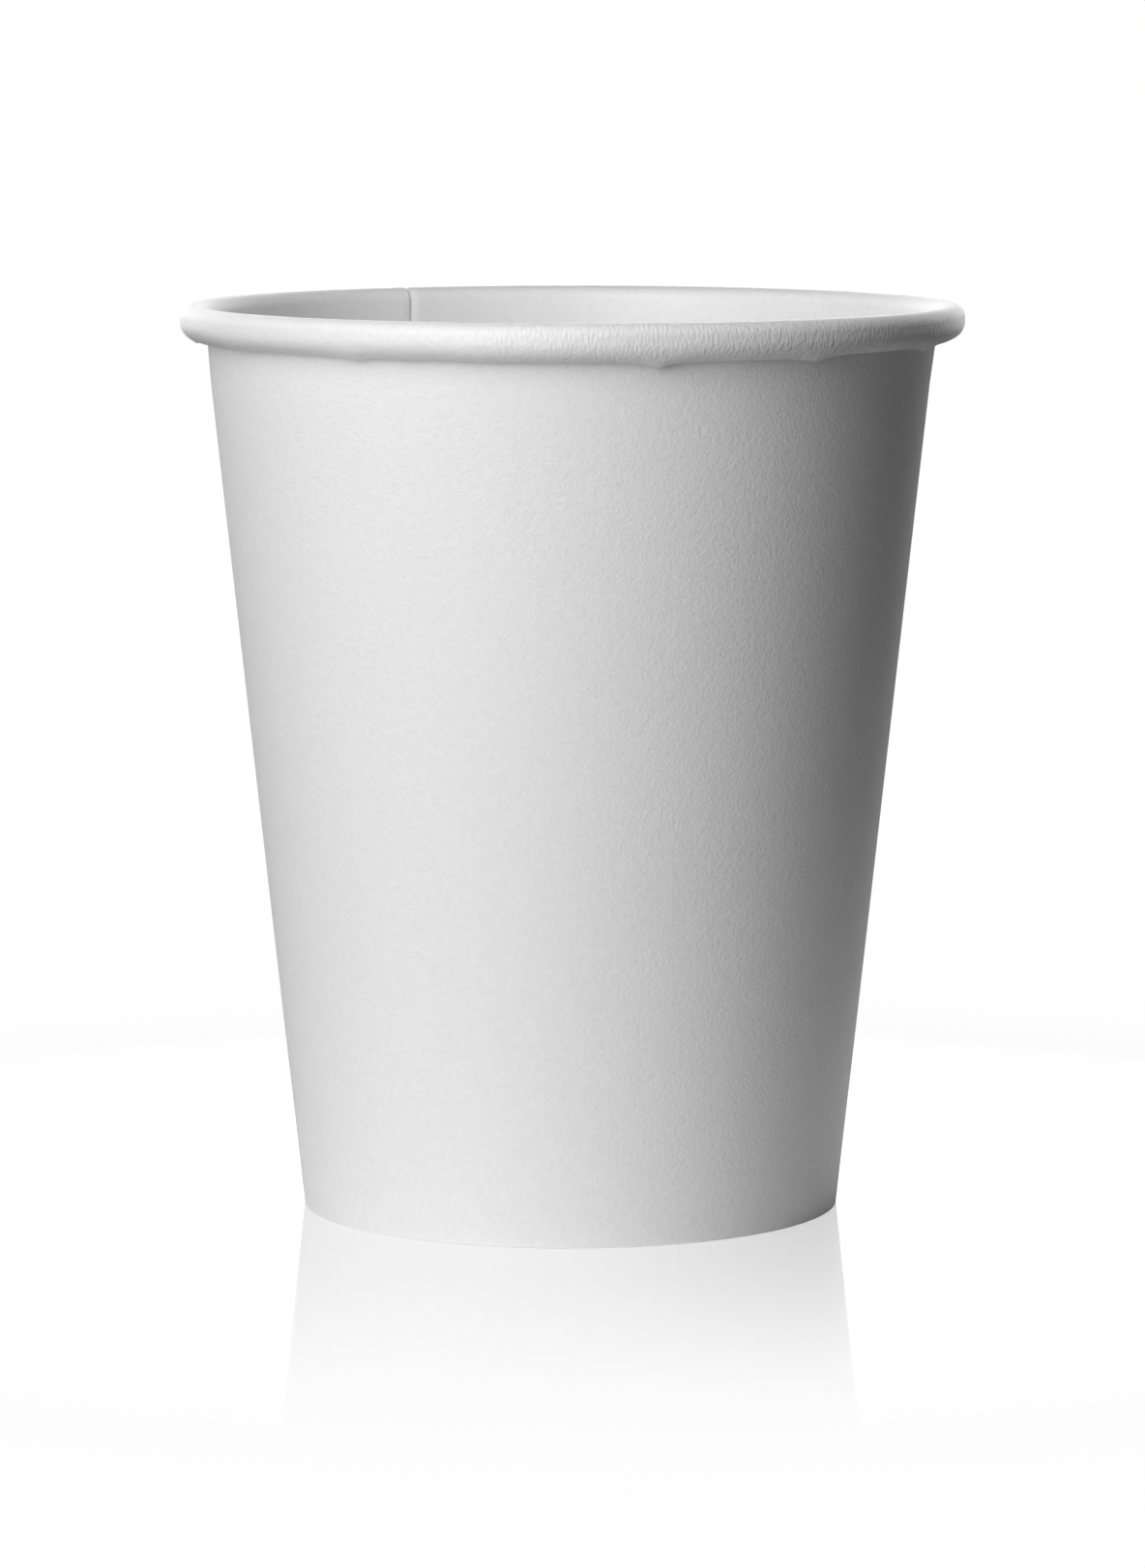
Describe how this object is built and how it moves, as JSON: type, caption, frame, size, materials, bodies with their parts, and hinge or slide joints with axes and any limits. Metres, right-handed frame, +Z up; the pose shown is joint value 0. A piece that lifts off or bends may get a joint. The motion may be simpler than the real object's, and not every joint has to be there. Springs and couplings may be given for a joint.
{
  "type": "paper coffee cup",
  "caption": "Tapered single-wall paper cup for hot drinks, with a rolled rim, a lapped side seam and a recessed bottom disc held in the folded foot of the wall.",
  "frame": {"origin": "centre of the ring that the cup stands on, on the floor", "axes": "+Z up along the cup's axis, towards the mouth; the side seam is at the back left, 117 degrees from +X towards +Y"},
  "size_m": [0.08, 0.08, 0.0925],
  "materials": {
    "cup_board": "matte white paperboard, with a thin clear coating on the inside",
    "bottom_board": "matte white paperboard, with a thin clear coating on the inside"
  },
  "bodies": {
    "root": {"side_wall": "cup_board", "bottom_disc": "bottom_board"}
  },
  "joints": []
}
